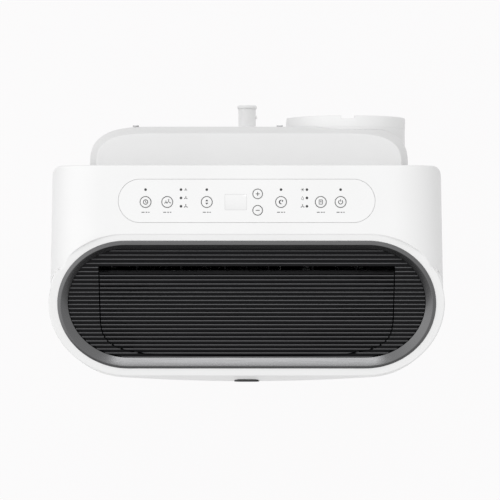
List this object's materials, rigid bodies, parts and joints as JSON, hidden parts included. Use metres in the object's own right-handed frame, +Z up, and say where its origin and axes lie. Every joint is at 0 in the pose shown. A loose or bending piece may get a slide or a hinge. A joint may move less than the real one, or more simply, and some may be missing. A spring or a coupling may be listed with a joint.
{
  "type": "portable air conditioner",
  "caption": "Upright portable air conditioner with a tilted oval air outlet and flap on top, a key panel, a rear exhaust collar, a drain spigot and swivel casters.",
  "frame": {"origin": "on the floor, under the centre of the bounding box", "axes": "+Z up, the front with the air outlet faces -Y, the exhaust collar and the drain spigot point to +Y, +X is to the right as seen from the front"},
  "size_m": [0.45, 0.336, 0.7],
  "materials": {
    "white_case": "fine satin grain",
    "white_panel": "smooth, slightly glossy",
    "white_keys": "smooth, slightly glossy",
    "white_fittings": "satin",
    "white_grille": "satin",
    "black_vent": "satin black with polished rib edges",
    "satin_ring": "satin silver, brushed along the ring",
    "display_smoke": "smooth translucent white",
    "indicator": "small smooth lenses, unlit",
    "circuit_board": "green lacquer",
    "receiver_black": "deep gloss",
    "black_rubber": "matt",
    "filter_mesh": "fine nylon mesh",
    "caster_grey": "satin nylon",
    "wheel_black": "matt nylon, scuffed tread",
    "black_enamel": "gloss enamel",
    "coil_fins": "thin bright fins",
    "motor_steel": "zinc plated",
    "inner_plastic": "satin",
    "duct_black": "matt",
    "vane_black": "satin",
    "fan_grey": "satin",
    "copper_tube": "drawn copper",
    "screw_steel": "zinc plated"
  },
  "bodies": {
    "root": {"base_tray": "white_case", "front_shell": "white_case", "rear_cover": "white_case", "top_housing": "white_case", "vent_surround": "black_vent", "vent_ring": "satin_ring", "control_panel": "white_panel", "display_window": "display_smoke", "indicator_lights": "indicator", "control_board": "circuit_board", "receiver_lens": "receiver_black", "exhaust_collar": "white_fittings", "drain_spigot": "white_fittings", "lower_grille": "white_grille", "left_grip": "white_case", "right_grip": "white_case", "compressor": "black_enamel", "compressor_feet": "black_rubber", "condenser_coil": "coil_fins", "evaporator_coil": "coil_fins", "lower_blower_case": "inner_plastic", "lower_motor": "motor_steel", "upper_blower_case": "inner_plastic", "upper_motor": "motor_steel", "drip_pan": "inner_plastic", "outlet_duct": "duct_black", "flap_motor": "motor_steel", "electrics_box": "inner_plastic", "refrigerant_pipes": "copper_tube", "cover_screws": "screw_steel", "cord_gland": "black_rubber"},
    "flap": {"flap": "black_vent"},
    "timer_key": {"timer_key": "white_keys"},
    "speed_key": {"speed_key": "white_keys"},
    "swing_key": {"swing_key": "white_keys"},
    "plus_key": {"plus_key": "white_keys"},
    "minus_key": {"minus_key": "white_keys"},
    "sleep_key": {"sleep_key": "white_keys"},
    "mode_key": {"mode_key": "white_keys"},
    "power_key": {"power_key": "white_keys"},
    "fork_front_left": {"fork_front_left": "caster_grey"},
    "wheel_front_left": {"wheel_front_left": "wheel_black"},
    "fork_front_right": {"fork_front_right": "caster_grey"},
    "wheel_front_right": {"wheel_front_right": "wheel_black"},
    "fork_rear_left": {"fork_rear_left": "caster_grey"},
    "wheel_rear_left": {"wheel_rear_left": "wheel_black"},
    "fork_rear_right": {"fork_rear_right": "caster_grey"},
    "wheel_rear_right": {"wheel_rear_right": "wheel_black"},
    "lower_fan": {"lower_fan": "fan_grey"},
    "upper_fan": {"upper_fan": "fan_grey"},
    "vane_1": {"vane_1": "vane_black"},
    "vane_2": {"vane_2": "vane_black"},
    "vane_3": {"vane_3": "vane_black"},
    "vane_4": {"vane_4": "vane_black"},
    "vane_5": {"vane_5": "vane_black"},
    "vane_6": {"vane_6": "vane_black"},
    "vane_link": {"vane_link": "vane_black"},
    "filter_cassette": {"upper_grille": "white_grille", "upper_filter": "filter_mesh"},
    "drain_plug": {"drain_plug": "black_rubber"}
  },
  "joints": [
    {"name": "flap_hinge", "type": "hinge", "parent": "root", "child": "flap", "pos_m": [0, -0.04393, 0.6639], "axis": [-1, 0, 0], "range_deg": [0, 70]},
    {"name": "timer_key_press", "type": "slide", "parent": "root", "child": "timer_key", "axis": [0, 0, -1], "range_m": [0, 0.0008], "stiffness_N_per_m": 250, "springref_m": -0.0006},
    {"name": "speed_key_press", "type": "slide", "parent": "root", "child": "speed_key", "axis": [0, 0, -1], "range_m": [0, 0.0008], "stiffness_N_per_m": 250, "springref_m": -0.0006},
    {"name": "swing_key_press", "type": "slide", "parent": "root", "child": "swing_key", "axis": [0, 0, -1], "range_m": [0, 0.0008], "stiffness_N_per_m": 250, "springref_m": -0.0006},
    {"name": "plus_key_press", "type": "slide", "parent": "root", "child": "plus_key", "axis": [0, 0, -1], "range_m": [0, 0.0008], "stiffness_N_per_m": 250, "springref_m": -0.0006},
    {"name": "minus_key_press", "type": "slide", "parent": "root", "child": "minus_key", "axis": [0, 0, -1], "range_m": [0, 0.0008], "stiffness_N_per_m": 250, "springref_m": -0.0006},
    {"name": "sleep_key_press", "type": "slide", "parent": "root", "child": "sleep_key", "axis": [0, 0, -1], "range_m": [0, 0.0008], "stiffness_N_per_m": 250, "springref_m": -0.0006},
    {"name": "mode_key_press", "type": "slide", "parent": "root", "child": "mode_key", "axis": [0, 0, -1], "range_m": [0, 0.0008], "stiffness_N_per_m": 250, "springref_m": -0.0006},
    {"name": "power_key_press", "type": "slide", "parent": "root", "child": "power_key", "axis": [0, 0, -1], "range_m": [0, 0.0008], "stiffness_N_per_m": 250, "springref_m": -0.0006},
    {"name": "swivel_front_left", "type": "hinge", "parent": "root", "child": "fork_front_left", "pos_m": [-0.165, -0.085, 0.05], "axis": [0, 0, 1], "continuous": true},
    {"name": "spin_front_left", "type": "hinge", "parent": "fork_front_left", "child": "wheel_front_left", "pos_m": [-0.165, -0.074, 0.019], "axis": [1, 0, 0], "continuous": true},
    {"name": "swivel_front_right", "type": "hinge", "parent": "root", "child": "fork_front_right", "pos_m": [0.165, -0.085, 0.05], "axis": [0, 0, 1], "continuous": true},
    {"name": "spin_front_right", "type": "hinge", "parent": "fork_front_right", "child": "wheel_front_right", "pos_m": [0.165, -0.074, 0.019], "axis": [1, 0, 0], "continuous": true},
    {"name": "swivel_rear_left", "type": "hinge", "parent": "root", "child": "fork_rear_left", "pos_m": [-0.165, 0.072, 0.05], "axis": [0, 0, 1], "continuous": true},
    {"name": "spin_rear_left", "type": "hinge", "parent": "fork_rear_left", "child": "wheel_rear_left", "pos_m": [-0.165, 0.083, 0.019], "axis": [1, 0, 0], "continuous": true},
    {"name": "swivel_rear_right", "type": "hinge", "parent": "root", "child": "fork_rear_right", "pos_m": [0.165, 0.072, 0.05], "axis": [0, 0, 1], "continuous": true},
    {"name": "spin_rear_right", "type": "hinge", "parent": "fork_rear_right", "child": "wheel_rear_right", "pos_m": [0.165, 0.083, 0.019], "axis": [1, 0, 0], "continuous": true},
    {"name": "lower_fan_spin", "type": "hinge", "parent": "root", "child": "lower_fan", "pos_m": [0.078, 0.03, 0.19], "axis": [0, 1, 0], "continuous": true},
    {"name": "upper_fan_spin", "type": "hinge", "parent": "root", "child": "upper_fan", "pos_m": [-0.06, -0.07, 0.475], "axis": [0, 1, 0], "continuous": true},
    {"name": "vane_1_turn", "type": "hinge", "parent": "root", "child": "vane_1", "pos_m": [-0.125, -0.06574, 0.63514], "axis": [0, 0.9272, 0.3746], "range_deg": [-35, 35]},
    {"name": "vane_2_turn", "type": "hinge", "parent": "root", "child": "vane_2", "pos_m": [-0.075, -0.06574, 0.63514], "axis": [0, 0.9272, 0.3746], "range_deg": [-35, 35]},
    {"name": "vane_3_turn", "type": "hinge", "parent": "root", "child": "vane_3", "pos_m": [-0.025, -0.06574, 0.63514], "axis": [0, 0.9272, 0.3746], "range_deg": [-35, 35]},
    {"name": "vane_4_turn", "type": "hinge", "parent": "root", "child": "vane_4", "pos_m": [0.025, -0.06574, 0.63514], "axis": [0, 0.9272, 0.3746], "range_deg": [-35, 35]},
    {"name": "vane_5_turn", "type": "hinge", "parent": "root", "child": "vane_5", "pos_m": [0.075, -0.06574, 0.63514], "axis": [0, 0.9272, 0.3746], "range_deg": [-35, 35]},
    {"name": "vane_6_turn", "type": "hinge", "parent": "root", "child": "vane_6", "pos_m": [0.125, -0.06574, 0.63514], "axis": [0, 0.9272, 0.3746], "range_deg": [-35, 35]},
    {"name": "vane_link_slide", "type": "slide", "parent": "root", "child": "vane_link", "axis": [1, 0, 0], "range_m": [-0.0056, 0.0056]},
    {"name": "filter_pull", "type": "slide", "parent": "root", "child": "filter_cassette", "axis": [0, 1, 0], "range_m": [0, 0.05]},
    {"name": "drain_plug_pull", "type": "slide", "parent": "root", "child": "drain_plug", "axis": [0, 1, 0], "range_m": [0, 0.03]}
  ],
  "couplings": [
    {"joint": "vane_1_turn", "follows": "vane_3_turn", "ratio": 1},
    {"joint": "vane_2_turn", "follows": "vane_3_turn", "ratio": 1},
    {"joint": "vane_4_turn", "follows": "vane_3_turn", "ratio": 1},
    {"joint": "vane_5_turn", "follows": "vane_3_turn", "ratio": 1},
    {"joint": "vane_6_turn", "follows": "vane_3_turn", "ratio": 1},
    {"joint": "vane_link_slide", "follows": "vane_3_turn", "m_per_rad": -0.0086}
  ]
}
